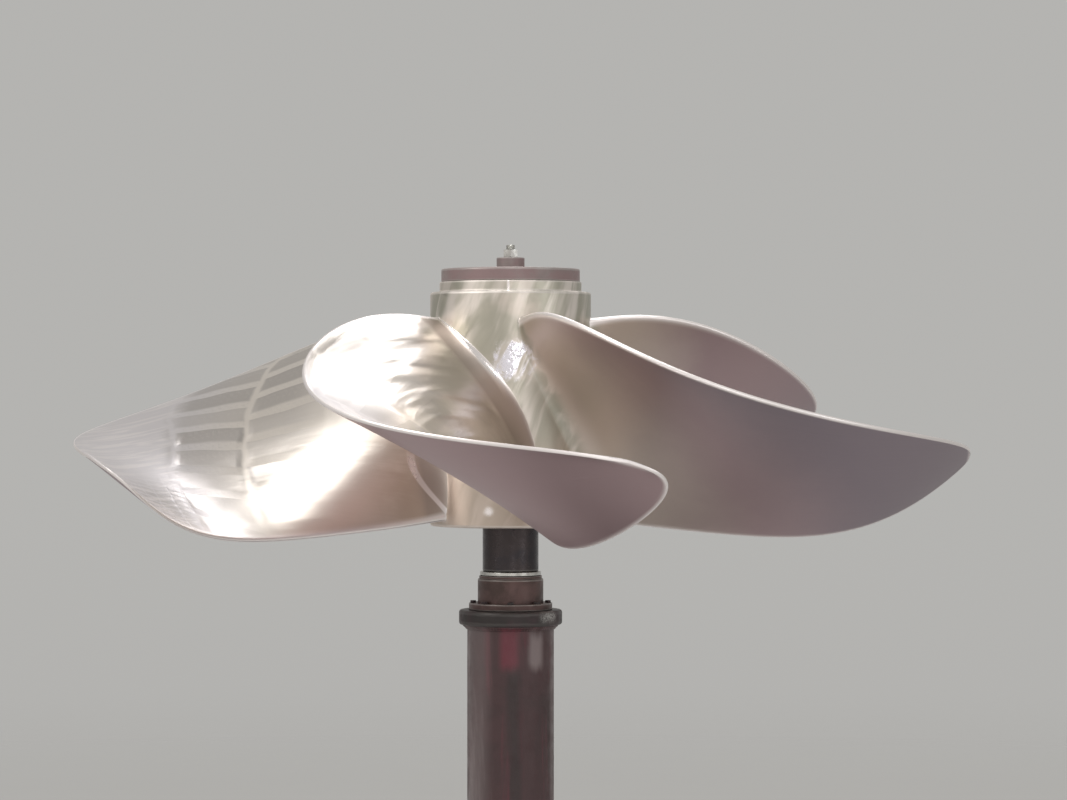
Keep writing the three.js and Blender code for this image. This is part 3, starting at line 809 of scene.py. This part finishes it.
def bronze(tints):
    """Ground bronze: stroked faces above, dull undersides darkened as painted shade, tan roots and
    strips on the hub, painted shade in the root fillets and low on the hub, and painted highlights
    on the fillets and the hub.
    """
    material, g, surface = new_material("ground_bronze")
    place_in = g.position()
    x, y, z = g.separate(place_in)
    radius, chord, side, edge, root, number = (g.mark(key) for key in MARKS)

    def reach(centre, unevenness):
        """Distance from a place, made uneven."""
        away = g.vector("LENGTH", g.vector("SUBTRACT", place_in, centre))
        return away + g.noise(place_in, 55.0, 6.0, 0.7).swing(unevenness)

    # Regions: the faces, the hub, the tips, and the front blade and the one after it
    upper, under = side.step(0.1, 0.7), side.step(-0.1, -0.6)
    hub, tip = root.step(0.93, 0.99), radius.step(0.57, 0.62)
    front, second = number.step(1.4, 1.1), number.off(2.0).step(0.4, 0.1)

    # Grinder strokes: wide ones over the faces, short ones beside the trailing edge of the tips
    drift, wobble = g.noise(place_in, 5.0, 2.0), g.noise(place_in, 11.0, 2.0)
    slant = g.most(radius - 0.46, 0.0) * 0.45
    across = chord + (drift.swing(0.04) + wobble.swing(0.01)) + slant
    along = radius + (g.noise(place_in, 7.0, 2.0).swing(0.05) - 0.052)
    where = {"across": across, "along": along, "number": number}
    wide = strokes(g, **where, width=0.07, length=0.137)
    short = strokes(g, **where, width=0.017, length=0.03)
    blended = (chord - radius * 0.81).step(-0.25, -0.19) * 0.85
    dashes = upper * tip * chord.step(0.06, 0.16)
    body = upper * (1 - tip) * radius.step(0.3, 0.4) * (1 - edge) * (1 - blended)
    body = body * (1 - front * 0.6)

    # Streaks and scratches along the blades, leaning strips on the hub, waves on the front blade
    streaks = g.noise(g.combine(chord * 60.0, radius * 8.0, number), 1.0, 3.0, 0.6, 0.4)
    scratches = g.noise(g.combine(chord * 400.0, radius * 20.0, number), 1.0, 2.0, 0.6)
    scratches = scratches * (1 - hub)
    leaning = g.turn(place_in, (z - 1.6) * -2.8)
    bend = g.combine(drift.swing(0.05), wobble.swing(0.02), 0.0)
    strip_place = g.vector("MULTIPLY", g.vector("ADD", leaning, bend), (26.0, 26.0, 5.0))
    strips = g.noise(strip_place, 1.0, 3.0, 0.5, 0.3)
    soft = g.noise(place_in, 6.0, 4.0, 0.6)
    wave_place = g.combine((chord + radius * 0.25) * 24.0, radius * 5.0, number)
    wave_share = upper * front * root.step(0.1, 0.0) * radius.step(0.5, 0.4)
    waves = g.noise(wave_place, 1.0, 1.0, 0.5, 0.2).swing(1.0) * wave_share

    # Upper faces: lilac tips, grey flats between the fresh bands, light rays, tan roots
    lilac = radius.step(0.45, 0.62) * upper * 0.7
    flat = (0.5 + wide["Tone"] * 0.45) * (1 - wide["Band"]) * body
    flat = flat + dashes * (1 - short["Band"]) * 0.6
    flat = g.math("ADD", flat, wave_share * soft.step(0.4, 0.65) * 0.45, clamp=True)
    rays = tip * upper * streaks.step(0.45, 0.62) * 0.5
    warm = radius.step(0.3, 0.2) * (soft + streaks.swing(0.5)).step(0.2, 0.6) * upper
    warm = warm * (0.75 - front * 0.6)

    # Undersides: beige beside the hub, then dull, tarnished further out, the dull and tarnished
    # parts darkened as painted shade for the dark floor they reflect
    span = radius + soft.swing(0.1)
    inner = span.step(0.36 + second * 0.1, 0.19)
    outer = span.step(0.4, 0.65) * (1 - front) * (0.5 + second * 0.5)
    layers = ((inner, tints.bronze_beige), (outer, tints.bronze_tarnish_and_shade))
    underside_and_shade = g.cover(tints.bronze_dull_and_shade, *layers)

    # Root fillets: painted shade in brown, most of it low down, with a painted highlight as a light
    # line where they meet the face, as at the crease further in
    lower, on_fillet = z.step(1.6, 1.53), side.step(0.0, 0.04)
    fillet = root.step(0.0, 0.12) * root.step(0.99, 0.9) * on_fillet
    fillet = fillet * g.most(lower, root.step(0.7, 0.45))
    line = root.step(0.45, 0.7) * root.step(0.99, 0.95) * on_fillet * (1 - lower)
    # A painted highlight along the crease, down the fillet to the hub
    foot = g.most(chord - 0.116, 0.0)
    crease_highlight = radius.off(0.188 - foot * foot * 8.0).step(0.008, 0.004)
    line = g.most(line, crease_highlight * chord.step(0.09, 0.12) * on_fillet)

    # Hub: green-grey and beige strips, and tan towards the bottom as painted shade
    striped_and_shaded = g.cover(
        tints.bronze,
        (strips.step(0.35, 0.6), tints.bronze_green),
        (soft.step(0.45, 0.6) * 0.5, tints.bronze_beige),
        # Painted shade: tan towards the bottom of the hub
        (z.step(1.5, 1.38) * 0.75, tints.bronze_warm_and_shade),
    )
    into_hub = g.most(hub, root.step(0.1, 0.6) * side.step(0.0, -0.04))

    # Fresh metal and painted highlights: a polished patch with a painted lilac-white reflection, a
    # painted glint and a short bright upright line on the hub, and every edge
    patch_and_glint_at, glint_at, tick_at = (0.006, -0.141, 1.602), (-0.037, -0.136, 1.344), -0.004
    patch = reach(patch_and_glint_at, 0.06).step(0.04, 0.022)
    patch = patch * g.noise(strip_place, 2.2, 2.0).step(0.36, 0.5)
    glint = reach(glint_at, 0.012).step(0.013, 0.001)
    tick = x.off(tick_at).step(0.003, 0.001) * y.step(0.0, -0.1) * z.step(1.72, 1.724)
    spot = g.most(patch, glint, tick)
    rim = edge * (1 - hub * 0.65)

    base = g.cover(
        tints.bronze,
        (lilac, tints.bronze_lilac),
        (flat, tints.bronze_grey),
        (rays, tints.bronze_bright_and_highlight),
        (warm, tints.bronze_warm_and_shade),
        (under, underside_and_shade),
        # Painted shade in the root fillets
        (fillet * 0.9, tints.bronze_fillet_shade),
        (into_hub, striped_and_shaded),
        # Rubbed edges, and painted highlights on the fillets and the hub
        (g.most(rim, line, spot) * 0.9, tints.bronze_bright_and_highlight),
        # Painted reflection on the polished patch
        (patch * 0.7, tints.bronze_fresh_and_glint),
    )
    g.link(base, surface["Base Color"])
    surface["Metallic"].default_value = 1.0

    rough = 0.28 + scratches * 0.03 + under * 0.15 + warm * 0.06 + edge * 0.14
    rough = rough + tip * upper * 0.02 + g.math("ADD", fillet, into_hub, clamp=True) * 0.1
    g.link(rough - g.most(line * 0.5, spot) * 0.16, surface["Roughness"])

    cut = wide["Height"] * body * 0.03 + short["Height"] * dashes * 0.02
    dabs = g.noise(place_in, 85.0, 2.0).swing(0.0015) * patch
    swell = streaks.swing(0.0003) * (1 - hub) + strips.swing(0.0018) * into_hub + waves * 0.008
    relief = (cut + dabs) + (swell + scratches * 0.000005)
    g.link(g.bump(relief, 1.0, 1.0), surface["Normal"])
    return material


def worn_paint(tints):
    """Worn red-oxide paint with rubbed patches, runs, stains and bare rims, and upright strips of
    painted shade and painted highlight.
    """
    material, g, surface = new_material("worn_red_paint")
    place_in = g.position()
    x, y, z = g.separate(place_in)
    runs = g.noise(g.combine(x * 24.0, y * 24.0, z * 3.0), 1.0, 4.0, 0.6, 0.3)
    patch = patches(g, vector=place_in, scale=9.0, first=tints.paint, second=tints.paint_dark_and_shade)
    rubbed = worn_edges(g, vector=place_in, wear=g.mark("wear"), amount=0.7)["Mask"]
    dirt = grain(g, vector=place_in, scale=30.0)
    layers = [
        (patch["Mask"] * 0.5, tints.paint_dark_and_shade),
        (runs.step(0.52, 0.72) * 0.45, tints.paint_pale_and_highlight),
        (runs.step(0.42, 0.3) * z.step(0.02, 0.25, 0.1, 0.5), tints.paint_crimson),
    ]
    head_low, head_high = 1.07, 1.14
    # Upright strips: painted shade down the middle at the front, painted highlights on the left and
    # right sides, a painted reflection near the top on the right, and a crimson streak of newer
    # paint
    upright = (  # direction in degrees, half width in radians, low, high, share, colour
        (-86, 0.24, 0.3, 1.06, 0.75, tints.paint_dark_and_shade),
        (-92, 0.3, head_low, head_high, 0.75, tints.paint_crimson),
        (-55, 0.3, head_low, 1.128, 0.6, tints.paint_pale_and_highlight),
        (-145, 0.6, 0.3, head_high, 0.28, tints.paint_pale_and_highlight),
        (-18, 0.2, 0.3, head_high, 0.25, tints.paint_pale_and_highlight),
    )
    where = {"vector": place_in, "wander": runs.swing(0.3)}
    for degrees, half_width, low, high, share, tint in upright:
        sizes = {"half_width": half_width, "low": low, "high": high}
        strip = upright_strip(g, **where, direction=math.radians(degrees), **sizes)
        layers.append((strip["Mask"] * share, tint))
    base = g.cover(tints.paint, *layers, (rubbed, tints.bright))
    g.link(base, surface["Base Color"])
    g.link(0.36 + dirt["Mask"] * 0.25, surface["Roughness"])
    g.link(rubbed * 0.8, surface["Metallic"])
    g.link(g.bump(dirt["Height"], 0.35, 0.0008), surface["Normal"])
    return material


def finish(slot, scuff=None):
    """The finish of a slot, made once."""
    name = f"{slot}_scuffed" if scuff else slot
    if f"{name}_finish" in bpy.data.materials:
        return bpy.data.materials[f"{name}_finish"]
    tints = bpy.context.scene.propeller_colours
    if slot == "ground_bronze":
        return bronze(tints)
    if slot == "worn_red_paint":
        return worn_paint(tints)
    rules = {  # two colours, roughness, metallic, wear of the rims, scale of the patches
        "red_brown_steel": (tints.red_brown, tints.red_brown_dark, 0.4, 0.3, 0.25, 14.0),
        "bright_steel": (tints.bright, tints.bright_dull, 0.24, 1.0, 0.5, 40.0),
        "black_steel": (tints.black, tints.black_brown, 0.24, 0.9, 0.12, 12.0),
        "rusty_steel": (tints.rust, tints.rust_dark, 0.36, 0.5, 0.25, 16.0),
        "dark_steel": (tints.dark, tints.dark_brown, 0.38, 0.5, 0.05, 18.0),
    }
    return steel(name, *rules[slot], tints.bright, scuff)


# Pieces of the clamp, the head and the stand


def round_node(node):
    """Outer radius, lowest and highest level of a round node."""
    low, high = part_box(node)
    return (high.x - low.x) / 2, low.z, high.z


def band(inner, outer, low, high, rim):
    """Corners of a plain ring, its outer rims rounded."""
    return [(inner, low, 0.0), (outer, low, rim), (outer, high, rim), (inner, high, 0.0)]


def plain_ring(name, body, slot, node, inner, rim, segments=96, scuff=None):
    """A plain ring that stands for a round node."""
    corners = band(inner, *round_node(node), rim)
    place(turned(name, corners, segments), body, slot, node, scuff=scuff)


def nut_part(across, low, high, hole, centre=(0.0, 0.0), segments=72):
    """A hexagon nut with its corners turned off, or a screw head where the hole is nought."""
    face_share, least_hole, chamfer = 0.96, 0.02, math.radians(30)
    flat = across / 2
    face, inner = flat * face_share, max(hole, across * least_hole)
    outer = flat / np.cos((circle(segments) + math.pi / 6) % (math.pi / 3) - math.pi / 6)
    drop = (outer - face) * math.tan(chamfer)
    rows = [  # radius, height, wear
        (inner, low, 0.0),
        (face, low, 0.3),
        (outer, low + drop, 1.0),
        (outer, low + drop * 1.5, 0.2),
        (outer, high - drop * 1.5, 0.2),
        (outer, high - drop, 1.0),
        (face, high, 0.3),
        (inner, high, 0.0),
    ]
    return shell(rows, segments, centre)


def threaded_part(radius, low, thread_low, high, pitch, centre=(0.0, 0.0), segments=36):
    """A plain rod with a thread above a level and a chamfer at its upper end."""
    depth, steps_a_turn, groove_share = pitch * 0.55, 8, 0.3
    steps = max(int((high - thread_low) / pitch * steps_a_turn), 2)
    levels = [low] + [thread_low + (high - thread_low) * i / steps for i in range(steps + 1)]
    share_round = np.arange(segments) / segments
    rows = []
    for z in levels:
        groove = depth * abs(2 * ((z / pitch - share_round) % 1.0) - 1) * (z > thread_low)
        chamfer = max(0.0, z - (high - depth))
        rows.append((radius - np.maximum(groove, chamfer), z, groove < depth * groove_share))
    points, faces, marks = shell(rows, segments, centre, closed=False)
    ends = [tuple(range(segments)), tuple(range(len(points) - segments, len(points)))]
    return points, faces + ends, marks


def inset(polygon, amount):
    """A convex outline, listed anticlockwise, moved inward."""
    moved = []
    for i, here in enumerate(polygon):
        before = here - polygon[i - 1]
        after = polygon[(i + 1) % len(polygon)] - here
        before_in = np.array((-before[1], before[0])) / np.linalg.norm(before)
        after_in = np.array((-after[1], after[0])) / np.linalg.norm(after)
        middle = before_in + after_in
        moved.append(here + middle * amount * 2 / (middle @ middle))
    return np.array(moved)


def plate_parts(outline, low, high, bevel, holes=()):
    """A flat plate with rounded rims: outline anticlockwise, round holes as (x, y, radius)."""
    steps, segments, hole_share = 3, 32, 0.5
    flat, straight = 3 * bevel, 2 * bevel
    turns = [math.pi / 2 * k / steps for k in range(steps + 1)]
    rims = [  # distance inward, height, wear
        (flat, low, 0.0),
        *((bevel * (1 - math.sin(t)), low + bevel * (1 - math.cos(t)), 1.0) for t in turns),
        (0.0, low + straight, 0.0),
        (0.0, high - straight, 0.0),
        *((bevel * (1 - math.cos(t)), high - bevel * (1 - math.sin(t)), 1.0) for t in turns),
        (flat, high, 0.0),
    ]
    loops = [[inset(outline, inward) for inward, *_ in rims]]
    turns = circle(segments)
    for x, y, radius in holes:
        radii = [radius + inward * hole_share for inward, *_ in rims]
        loops.append([np.array(ring(r, turns, 0.0, (x, y)))[:, :2] for r in radii])
    parts = []
    for rows in loops:
        points, wear = [], []
        for row, (_, z, worn) in zip(rows, rims):
            points += [(x, y, z) for x, y in row]
            wear += [worn] * len(row)
        parts.append((points, bands(len(rows), len(rows[0])), {"wear": wear}))
    for i in (0, -1):
        points, triangles = filled(loops[0][i], [rows[i] for rows in loops[1:]], [], 0.0)
        parts.append(([(x, y, rims[i][1]) for x, y in points], triangles, {}))
    return parts


def bead_part(path, leg, ripple):
    """A rippled weld bead along (place, first leg's direction, second leg's direction) rows."""
    section = 6
    least, swell, hollow, corner = 0.9, 0.1, 0.74, 0.26  # shares of the leg
    points, travelled = [], 0.0
    for i, (at, first, second) in enumerate(path):
        if i:
            travelled += (at - path[i - 1][0]).length
        size = leg * (least + swell * abs(math.sin(math.pi * travelled / ripple)))
        for k in range(section + 1):
            turn = math.pi / 2 * k / section
            reach = size * (hollow + corner * abs(math.cos(2 * turn)))
            points.append(at + first * reach * math.cos(turn) + second * reach * math.sin(turn))
        points.append(at.copy())
    count = section + 2
    faces = bands(len(path), count)
    if (path[0][0] - path[-1][0]).length > ripple:
        faces += [tuple(range(count)), tuple(range(len(points) - count, len(points)))]
    return points, faces, {}


def ring_bead(radius, height, upward, leg, ripple):
    """A weld bead round the post, against a flat face above or below it."""
    ripples = round(2 * math.pi * radius / ripple)
    samples = ripples * 4
    ripple = 2 * radius * samples * math.sin(math.pi / samples) / ripples
    path = []
    for i in range(samples + 1):
        turn = 2 * math.pi * (i % samples) / samples
        out = Vector((math.cos(turn), math.sin(turn), 0.0))
        path.append((out * radius + Vector((0, 0, height)), out, Vector((0, 0, upward))))
    return bead_part(path, leg, ripple)


def straight_bead(start, end, first, second, leg, ripple):
    """A weld bead between two places."""
    start, end = Vector(start), Vector(end)
    samples = max(int((end - start).length / ripple) * 4, 2)
    sides = (Vector(first), Vector(second))
    path = [(start.lerp(end, i / samples), *sides) for i in range(samples + 1)]
    return bead_part(path, leg, ripple)


def turn_part(part, quarters):
    """A part turned about the Z axis, a quarter turn at a time."""
    points, faces, marks = part
    c, s = math.cos(math.pi / 2 * quarters), math.sin(math.pi / 2 * quarters)
    return [(c * p[0] - s * p[1], s * p[0] + c * p[1], p[2]) for p in points], faces, marks


class PROPELLER_OT_clamp(Operator):
    """Build the clamp plate, spacer, nut and threaded stud"""

    bl_idname = "propeller.make_clamp"
    bl_label = "Clamp"

    def execute(self, context):
        hub, rim = context.scene.propeller_hub, context.scene.propeller_stand.rim
        stud, stud_low, stud_high = round_node("clamp_stud")
        hole = stud + FIT
        radius, low, high = round_node("clamp_plate")
        seat = PLANE_HEIGHT + hub.top + FIT
        spigot = hub.bore_radius - (seat - low) * hub.bore_taper / 2 - FIT
        corners = [
            (hole, low, 0.0),
            (spigot, low, rim),
            (spigot, seat, 0.0),
            (radius, seat, rim),
            (radius, high, 2 * rim),
            (hole, high, 0.0),
        ]
        disc = turned("clamp_plate_disc", corners, 144)
        place(disc, "propeller", "red_brown_steel", "clamp_plate")
        spacer = ("clamp_spacer_ring", "propeller", "red_brown_steel", "clamp_spacer")
        plain_ring(*spacer, hole, rim)
        low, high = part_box("clamp_nut")
        across = min(high.x - low.x, high.y - low.y)
        nut = joined("clamp_nut_hexagon", [nut_part(across, low.z, high.z, hole)])
        place(nut, "propeller", "bright_steel", "clamp_nut")
        thread_low = low.z + (high.z - low.z) / 2
        rod = threaded_part(stud, stud_low, thread_low, stud_high, pitch=0.002)
        place(joined("clamp_stud_threaded", [rod]), "propeller", "bright_steel", "clamp_stud")
        return {"FINISHED"}


class PROPELLER_OT_head(Operator):
    """Build the mandrel and the washer that it runs on"""

    bl_idname = "propeller.make_head"
    bl_label = "Turning head"

    def execute(self, context):
        hub, sizes = context.scene.propeller_hub, context.scene.propeller_stand
        rim, journal, shank = sizes.rim, sizes.journal_radius, sizes.shank_radius
        collar, low, high = round_node("mandrel")
        collar_low = round_node("thrust_washer")[2] + FIT
        collar_high = PLANE_HEIGHT + hub.bottom - FIT
        stud, stud_low, _ = round_node("clamp_stud")
        hole, hole_low = stud + FIT, stud_low - FIT
        corners = [
            (0.0, low, 0.0),
            (journal, low, rim),
            (journal, collar_low, 0.0),
            (collar, collar_low, 2 * rim),
            (collar, collar_high, rim),
            (shank, collar_high, 0.0),
            (shank, high, rim),
            (hole, high, 0.0),
            (hole, hole_low, 0.0),
            (0.0, hole_low, 0.0),
        ]
        place(turned("mandrel_turned", corners), "propeller", "black_steel", "mandrel")
        washer = ("thrust_washer_ring", "propeller", "bright_steel", "thrust_washer")
        plain_ring(*washer, journal + FIT, rim / 2)
        return {"FINISHED"}


class PROPELLER_OT_bearing(Operator):
    """Build the bearing race, its housing with the screws, and the flange on the post"""

    bl_idname = "propeller.make_bearing"
    bl_label = "Bearing"

    def execute(self, context):
        sizes = context.scene.propeller_stand
        rim, bore = sizes.rim, sizes.journal_radius + sizes.journal_clearance
        race = ("bearing_race_ring", "stand", "rusty_steel", "bearing_race")
        plain_ring(*race, bore, rim / 2)
        foot, low, high = round_node("bearing_housing")
        neck, foot_high = sizes.housing_radius, low + sizes.housing_foot
        corners = [
            (bore, low, 0.0),
            (foot, low, rim),
            (foot, foot_high, rim),
            (neck, foot_high, 0.0),
            (neck, high, 1.5 * rim),
            (bore, high, 0.0),
        ]
        housing = turned("bearing_housing_turned", corners)
        place(housing, "stand", "rusty_steel", "bearing_housing")
        size = (sizes.screw_across, foot_high, foot_high + sizes.screw_head, 0.0)
        centres = ring(sizes.screw_ring, circle(sizes.screw_count), 0.0)
        screws = [nut_part(*size, centre, 36) for centre in centres]
        place(joined("housing_screws", screws), "stand", "dark_steel")
        _, low, high = round_node("head_flange")
        hole, rounding = 0.036, 0.005
        rubbed = {"low": low + 0.012, "high": high - 0.004, "half_width": 0.3}
        scuff = {"direction": math.radians(-42), **rubbed}
        flange = ("head_flange_turned", "stand", "dark_steel", "head_flange")
        plain_ring(*flange, hole, rounding, 128, scuff)
        return {"FINISHED"}


class PROPELLER_OT_post(Operator):
    """Build the post tube, the foot plate with its gussets and welds, and the anchor bolts"""

    bl_idname = "propeller.make_post"
    bl_label = "Post and foot"

    def execute(self, context):
        sizes = context.scene.propeller_stand
        radius, low, high = round_node("post_tube")
        paint = ("stand", "worn_red_paint")
        plain_ring("post_tube_rolled", *paint, "post_tube", radius - sizes.post_wall, 0.0, 128)
        place(self.foot_plate(sizes), *paint, "base_plate")
        for number in range(1, 5):
            place(self.gusset(sizes, number), *paint, f"gusset_{number}")
            place(self.anchor(sizes, number), "stand", "dark_steel", f"anchor_bolt_{number}")
        place(self.welds(sizes, radius, low, high), *paint)
        return {"FINISHED"}

    def foot_plate(self, sizes):
        """Foot plate with round corners and four holes."""
        low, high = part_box("base_plate")
        far, steps = high.x - sizes.corner_radius, 12
        outline = []
        for quarter, centre in enumerate(((far, far), (-far, far), (-far, -far), (far, -far))):
            turns = math.pi / 2 * (quarter + np.arange(steps + 1) / steps)
            outline += ring(sizes.corner_radius, turns, 0.0, centre)
        half = sizes.anchor_spacing / 2
        holes = [(x, y, sizes.anchor_hole) for x in (-half, half) for y in (-half, half)]
        outline = np.array(outline)[:, :2]
        return joined("foot_plate", plate_parts(outline, low.z, high.z, sizes.rim, holes))

    def gusset(self, sizes, number):
        """One gusset: a plate on edge, turned to its side of the post."""
        low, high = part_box("gusset_1")
        thick = high.y - low.y
        reach, rise = high.x - low.x, high.z - low.z
        outline = np.array([
            (sizes.gusset_cut, 0.0),
            (reach, 0.0),
            (reach, sizes.gusset_nose),
            (sizes.gusset_nose, rise),
            (0.0, rise),
            (0.0, sizes.gusset_cut),
        ])
        parts = []
        for points, faces, marks in plate_parts(outline, -thick / 2, thick / 2, sizes.rim):
            stood = [(low.x + p[0], -p[2], low.z + p[1]) for p in points]
            parts.append(turn_part((stood, faces, marks), number - 1))
        return joined(f"gusset_plate_{number}", parts)

    def anchor(self, sizes, number):
        """Washer, nut and threaded end of one anchor bolt."""
        low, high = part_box(f"anchor_bolt_{number}")
        centre = ((low.x + high.x) / 2, (low.y + high.y) / 2)
        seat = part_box("base_plate")[1].z + FIT
        washer, rim, rod = (high.x - low.x) / 2, sizes.rim / 2, sizes.anchor_radius
        nut_low = seat + sizes.anchor_washer
        nut_high = nut_low + sizes.anchor_nut
        thread_low = nut_high - sizes.anchor_nut / 4
        parts = [
            turned_part(band(rod, washer, seat, nut_low, rim), 64, centre),
            nut_part(sizes.anchor_across, nut_low, nut_high, rod, centre),
            threaded_part(rod, low.z, thread_low, high.z, pitch=0.003, centre=centre),
        ]
        return joined(f"anchor_bolt_set_{number}", parts)

    def welds(self, sizes, radius, low, high):
        """Weld beads under the flange, round the foot of the post and along the gussets."""
        bead = (sizes.weld, sizes.ripple)
        parts = [ring_bead(radius, high, -1.0, *bead), ring_bead(radius, low, 1.0, *bead)]
        box_low, box_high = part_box("gusset_1")
        inner, cut = radius - FIT, sizes.gusset_cut
        for quarters in range(4):
            for side in (-1.0, 1.0):
                y, out = side * (box_high.y - box_low.y) / 2, (0.0, side, 0.0)
                ends = ((inner, y, box_low.z + cut), (inner, y, box_high.z))
                parts.append(turn_part(straight_bead(*ends, (1.0, 0.0, 0.0), out, *bead), quarters))
                ends = ((box_low.x + cut, y, low), (box_high.x, y, low))
                parts.append(turn_part(straight_bead(*ends, out, (0.0, 0.0, 1.0), *bead), quarters))
        return joined("post_welds", parts, sharp=60.0)


# Studio


def area_light(name, place_at, target, width, height, power, tint, spin=0.0):
    """A soft box that faces a point, spun about its own axis."""
    light = bpy.data.lights.new(name, "AREA")
    light.shape, light.size, light.size_y = "RECTANGLE", width, height
    light.energy, light.color = power, tint
    lamp = bpy.data.objects.new(name, light)
    lamp.location = place_at
    facing = (Vector(target) - Vector(place_at)).to_track_quat("-Z", "Y")
    lamp.rotation_euler = (facing @ Quaternion((0.0, 0.0, 1.0), spin)).to_euler()
    lamp.visible_camera = False
    bpy.context.scene.collection.objects.link(lamp)


class PROPELLER_OT_stage(Operator):
    """Set the pale floor, the soft lights and the camera at the photographed angle"""

    bl_idname = "propeller.set_stage"
    bl_label = "Stage"

    def execute(self, context):
        studio = context.scene.propeller_studio
        self.make_camera(context, studio)
        self.make_floor(studio)
        self.make_world(context, studio)
        context.scene.view_settings.view_transform = "Standard"
        above, under = (-0.02, -0.42, 4.3), (-0.02, -0.42, 0.0)
        front_blade, middle, hub = (-0.23, -0.33, 1.58), (0.0, 0.0, 1.5), (0.0, 0.0, 1.45)
        lights = (  # name, place, target, width, height, power, tint, spin
            ("top_light", above, under, 1.4, 1.15, 22.0, (1.0, 0.99, 0.97), 0.58),
            ("back_light", (0.08, 0.684, 2.64), front_blade, 0.55, 0.42, 2.6, (1.0, 0.99, 1.0)),
            ("key_light", (-3.1, -1.8, 3.7), middle, 1.8, 1.6, 45.0, (1.0, 0.98, 0.95)),
            ("front_light", (0.9, -4.9, 3.0), hub, 0.7, 3.6, 24.0, (1.0, 0.98, 1.0)),
            ("fill_light", (3.4, -2.6, 2.2), middle, 1.2, 2.0, 10.0, (0.95, 0.97, 1.0)),
        )
        for light in lights:
            area_light(*light)
        return {"FINISHED"}

    def make_camera(self, context, studio):
        """Camera level with the hub, framed as the photograph is."""
        data = bpy.data.cameras.new("camera")
        data.lens, data.sensor_width = studio.lens, 36.0
        data.shift_x, data.shift_y = studio.shift_x, studio.shift_y
        data.clip_end = 100.0
        camera = bpy.data.objects.new("camera", data)
        camera.location = (0.0, -studio.camera_distance, studio.camera_height)
        camera.rotation_euler = (math.pi / 2, 0.0, 0.0)
        context.scene.collection.objects.link(camera)
        context.scene.camera = camera

    def make_floor(self, studio):
        """A round pale floor that fades out into the surroundings."""
        segments, radius = 96, 14.0
        disc = (ring(radius, circle(segments), 0.0), [tuple(range(segments))], {})
        floor = joined("studio_floor", [disc], ())
        material, g, surface = new_material("floor")
        grime = g.noise(g.position(), 2.0, 4.0)
        g.link(g.mix(grime, [c * 0.97 for c in studio.floor], studio.floor), surface["Base Color"])
        surface["Roughness"].default_value = 0.75
        away = g.vector("LENGTH", g.position())
        g.link(away.step(4.0, 12.0, 1.0, 0.0), surface["Alpha"])
        floor.data.materials.append(material)

    def make_world(self, context, studio):
        """Pale surroundings, darker towards the floor and behind the propeller."""
        world = bpy.data.worlds.new("surroundings")
        world.use_nodes = True
        g = Graph(world.node_tree)
        background = world.node_tree.nodes["Background"]
        _, away, up = g.separate(g.node("ShaderNodeTexCoord", out="Generated"))
        level = g.mix(away.step(-0.7, 0.2), studio.front, studio.backdrop)
        layers = ((up.step(-0.5, -0.02), level), (up.step(0.15, 0.45), studio.ceiling))
        g.link(g.cover(studio.ground, *layers), background.inputs["Color"])
        context.scene.world = world


class PROPELLER_PT_sidebar(Panel):
    """Sizes, colours and steps"""

    bl_label = "Ship propeller"
    bl_idname = "PROPELLER_PT_sidebar"
    bl_space_type = "VIEW_3D"
    bl_region_type = "UI"
    bl_category = "Propeller"

    def draw(self, context):
        layout = self.layout
        for operator in OPERATORS:
            layout.operator(operator.bl_idname)
        for key, kind in SETTINGS.items():
            box = layout.box()
            box.label(text=kind.__doc__)
            for name in kind.__annotations__:
                box.prop(getattr(context.scene, key), name)


SETTINGS = {
    "propeller_blade": BladeSizes,
    "propeller_hub": HubSizes,
    "propeller_stand": StandSizes,
    "propeller_colours": FinishColours,
    "propeller_studio": StudioSettings,
}
OPERATORS = (
    PROPELLER_OT_stage,
    PROPELLER_OT_casting,
    PROPELLER_OT_clamp,
    PROPELLER_OT_head,
    PROPELLER_OT_bearing,
    PROPELLER_OT_post,
)
CLASSES = (*SETTINGS.values(), *OPERATORS, PROPELLER_PT_sidebar)


def register():
    """Add the settings, the operators and the panel."""
    for kind in CLASSES:
        bpy.utils.register_class(kind)
    for key, kind in SETTINGS.items():
        setattr(bpy.types.Scene, key, PointerProperty(type=kind))


def unregister():
    """Take them away again."""
    for key in SETTINGS:
        delattr(bpy.types.Scene, key)
    for kind in reversed(CLASSES):
        bpy.utils.unregister_class(kind)


def main():
    """Build every piece in order."""
    register()
    bpy.ops.propeller.set_stage()
    bpy.ops.propeller.make_casting()
    bpy.ops.propeller.make_clamp()
    bpy.ops.propeller.make_head()
    bpy.ops.propeller.make_bearing()
    bpy.ops.propeller.make_post()


if __name__ == "__main__":
    main()
